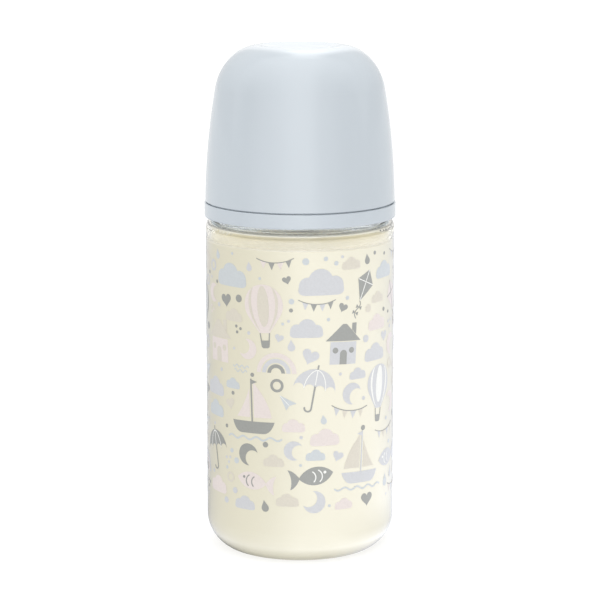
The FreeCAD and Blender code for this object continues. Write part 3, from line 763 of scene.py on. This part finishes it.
# even white surroundings, a little brighter overhead
world = bpy.data.worlds.new("studio")
scene.world = world
world.use_nodes = True
wt = world.node_tree
bg = wt.nodes["Background"]
bg.inputs["Color"].default_value = (1.0, 1.0, 1.0, 1.0)
up = wt.nodes.new("ShaderNodeSeparateXYZ")
wt.links.new(wt.nodes.new("ShaderNodeTexCoord").outputs["Generated"], up.inputs["Vector"])
wt.links.new(graph(wt, up.outputs["Z"], [(0.0, 0.95), (0.35, 1.02), (0.7, 1.27), (1.0, 1.55)]), bg.inputs["Strength"])


def ring_mesh(name, rings, material):
    """A glowing reflector round the bottle, seen only in polished surfaces; rings of (radius, height)."""
    n = 96
    verts, faces = [], []
    for r, z in rings:
        for i in range(n):
            t = 2 * math.pi * i / n
            verts.append((r * math.sin(t), -r * math.cos(t), z))
    for k in range(len(rings) - 1):
        for i in range(n):
            j = (i + 1) % n
            faces.append((k * n + i, k * n + j, (k + 1) * n + j, (k + 1) * n + i))
    ob = stage_mesh(name, verts, faces, material)
    ob.visible_camera = ob.visible_diffuse = ob.visible_transmission = False
    ob.visible_shadow = ob.visible_volume_scatter = False
    return ob


def glow_material(name):
    m = bpy.data.materials.new(name)
    m.use_nodes = True
    nt = m.node_tree
    nt.nodes.clear()
    out = nt.nodes.new("ShaderNodeOutputMaterial")
    glow = nt.nodes.new("ShaderNodeEmission")
    nt.links.new(glow.outputs["Emission"], out.inputs["Surface"])
    m.cycles.emission_sampling = "NONE"
    return m, nt, glow


# what the polished wall mirrors low down, by compass direction in degrees (0
# towards the viewer of the photo, 90 to the right): dim on the left, bright on
# the right, and dark close to the foot
m, nt, glow = glow_material("low_card")
x, y, z = split(nt, coords(nt))
turn = calc(nt, "MULTIPLY", calc(nt, "ARCTAN2", x, calc(nt, "MULTIPLY", y, -1.0)), 180 / math.pi)
far = graph(nt, turn, [(-180, 0.75), (-165, 0.65), (-150, 0.6), (-126, 0.45), (-108, 0.55), (-93, 0.7), (-79, 0.85), (-67, 1.0), (-56, 1.2), (-45, 1.4),
                       (-35, 1.65), (-25, 1.95), (-15, 2.25), (-5, 2.6), (5, 2.85), (15, 3.0), (50, 3.1), (79, 2.85), (100, 2.25),
                       (116, 1.55), (132, 1.05), (150, 0.85), (165, 0.75), (180, 0.75)])
close = graph(nt, turn, [(-180, 0.7), (-126, 0.4), (-79, 0.85), (-45, 1.5), (-20, 2.4), (0, 3.2), (30, 3.3), (50, 2.6), (70, 1.8), (90, 1.2),
                         (110, 0.85), (140, 0.75), (180, 0.7)])
reach = calc(nt, "SQRT", calc(nt, "ADD", calc(nt, "MULTIPLY", x, x), calc(nt, "MULTIPLY", y, y)))
blend = graph(nt, reach, [(0.025, 0.0), (0.05, 0.0), (0.09, 1.0), (0.67, 1.0)])
near = graph(nt, reach, [(0.025, 0.1), (0.029, 0.15), (0.0305, 0.6), (0.032, 1.0), (0.67, 1.0)])
lift = graph(nt, turn, [(-180, 0.0), (20, 0.0), (60, 0.2), (120, 0.2), (160, 0.0), (180, 0.0)])
near = calc(nt, "ADD", near, calc(nt, "MULTIPLY", lift, calc(nt, "SUBTRACT", 1.0, near)))
level = calc(nt, "ADD", close, calc(nt, "MULTIPLY", blend, calc(nt, "SUBTRACT", far, close)))
nt.links.new(calc(nt, "MULTIPLY", level, near), glow.inputs["Strength"])
glow.inputs["Color"].default_value = (1.02, 1.055, 1.17, 1)
ring_mesh("low_card", [(0.0255, 0.0004), (0.045, 0.0004), (0.2, 0.0004), (0.67, 0.0004)], m)

# what the cap and the ring mirror: a soft bright column ahead that runs on
# overhead, and a narrow strip of light behind, over the dished top
m, nt, glow = glow_material("arch_card")
n = nt.nodes.new("ShaderNodeVectorMath")
n.operation = "SUBTRACT"
n.inputs[1].default_value = (0.0, 0.0, 0.15)
nt.links.new(coords(nt), n.inputs[0])
u = nt.nodes.new("ShaderNodeVectorMath")
u.operation = "NORMALIZE"
nt.links.new(n.outputs[0], u.inputs[0])
x, y, z = split(nt, u.outputs[0])
side = calc(nt, "MULTIPLY", calc(nt, "ARCSINE", x), 180 / math.pi)
over = calc(nt, "MULTIPLY", calc(nt, "ARCTAN2", z, calc(nt, "MULTIPLY", y, -1.0)), 180 / math.pi)
column = graph(nt, side, [(-90, 0.0), (-68, 0.0), (-60, 0.35), (-49, 0.8), (-37, 1.2), (-24, 1.8), (-12, 2.4), (0, 2.6), (12, 2.4), (20, 1.75),
                          (26, 1.25), (39, 0.8), (53, 0.2), (62, 0.0), (90, 0.0)])
column = calc(nt, "MULTIPLY", column, graph(nt, over, [(-180, 0.0), (-90, 0.0), (-60, 1.0), (30, 1.0), (60, 0.9), (90, 0.8), (106, 0.6),
                                                       (118, 0.0), (180, 0.0)]))
strip = graph(nt, side, [(-90, 0.0), (-12, 0.0), (-6, 0.35), (-2, 0.9), (1, 1.0), (5, 1.0), (8, 0.85), (11, 0.5), (17, 0.0), (90, 0.0)])
strip = calc(nt, "MULTIPLY", strip, graph(nt, over, [(-180, 0.0), (98, 0.0), (106, 1.1), (113, 2.2), (118, 2.9), (136, 2.7), (149, 1.3),
                                                     (160, 0.4), (176, 0.0), (180, 0.0)]))
back = graph(nt, side, [(-90, 0.0), (-16, 0.0), (-9, 0.3), (9, 0.3), (16, 0.0), (90, 0.0)])
back = calc(nt, "MULTIPLY", back, graph(nt, over, [(-180, 0.0), (145, 0.0), (156, 1.0), (173, 1.0), (178, 0.0), (180, 0.0)]))
sky = graph(nt, over, [(-180, 0.0), (35, 0.0), (70, 0.3), (125, 0.3), (155, 0.05), (180, 0.0)])
plain = graph(nt, over, [(-180, 1.0), (130, 1.0), (154, 0.8), (180, 0.8)])
level = calc(nt, "ADD", calc(nt, "ADD", plain, calc(nt, "ADD", column, sky)), calc(nt, "ADD", strip, back))
nt.links.new(level, glow.inputs["Strength"])
R = 1.3
ring_mesh("arch_card", [(0.671, 0.0004), (R, 0.0004)] +
          [(R * math.cos(math.radians(e)), 0.15 + R * math.sin(math.radians(e))) for e in range(0, 90, 5)] + [(0.01, 0.15 + R)], m)

# ------------------------------------------------------------------- camera
cam = bpy.data.cameras.new("camera")
cam.sensor_fit = "HORIZONTAL"
cam.sensor_width = 36.0
cam.lens = 2446.0 * 36.0 / 600.0
cam.clip_start, cam.clip_end = 0.01, 50.0
eye = bpy.data.objects.new("camera", cam)
tilt, dist = math.radians(10.88), 0.8357
target = Vector((0, 0, 0.08475))
eye.location = target + Vector((0, -dist * math.cos(tilt), dist * math.sin(tilt)))
eye.rotation_euler = (math.pi / 2 - tilt, 0, 0)
scene.collection.objects.link(eye)
scene.camera = eye
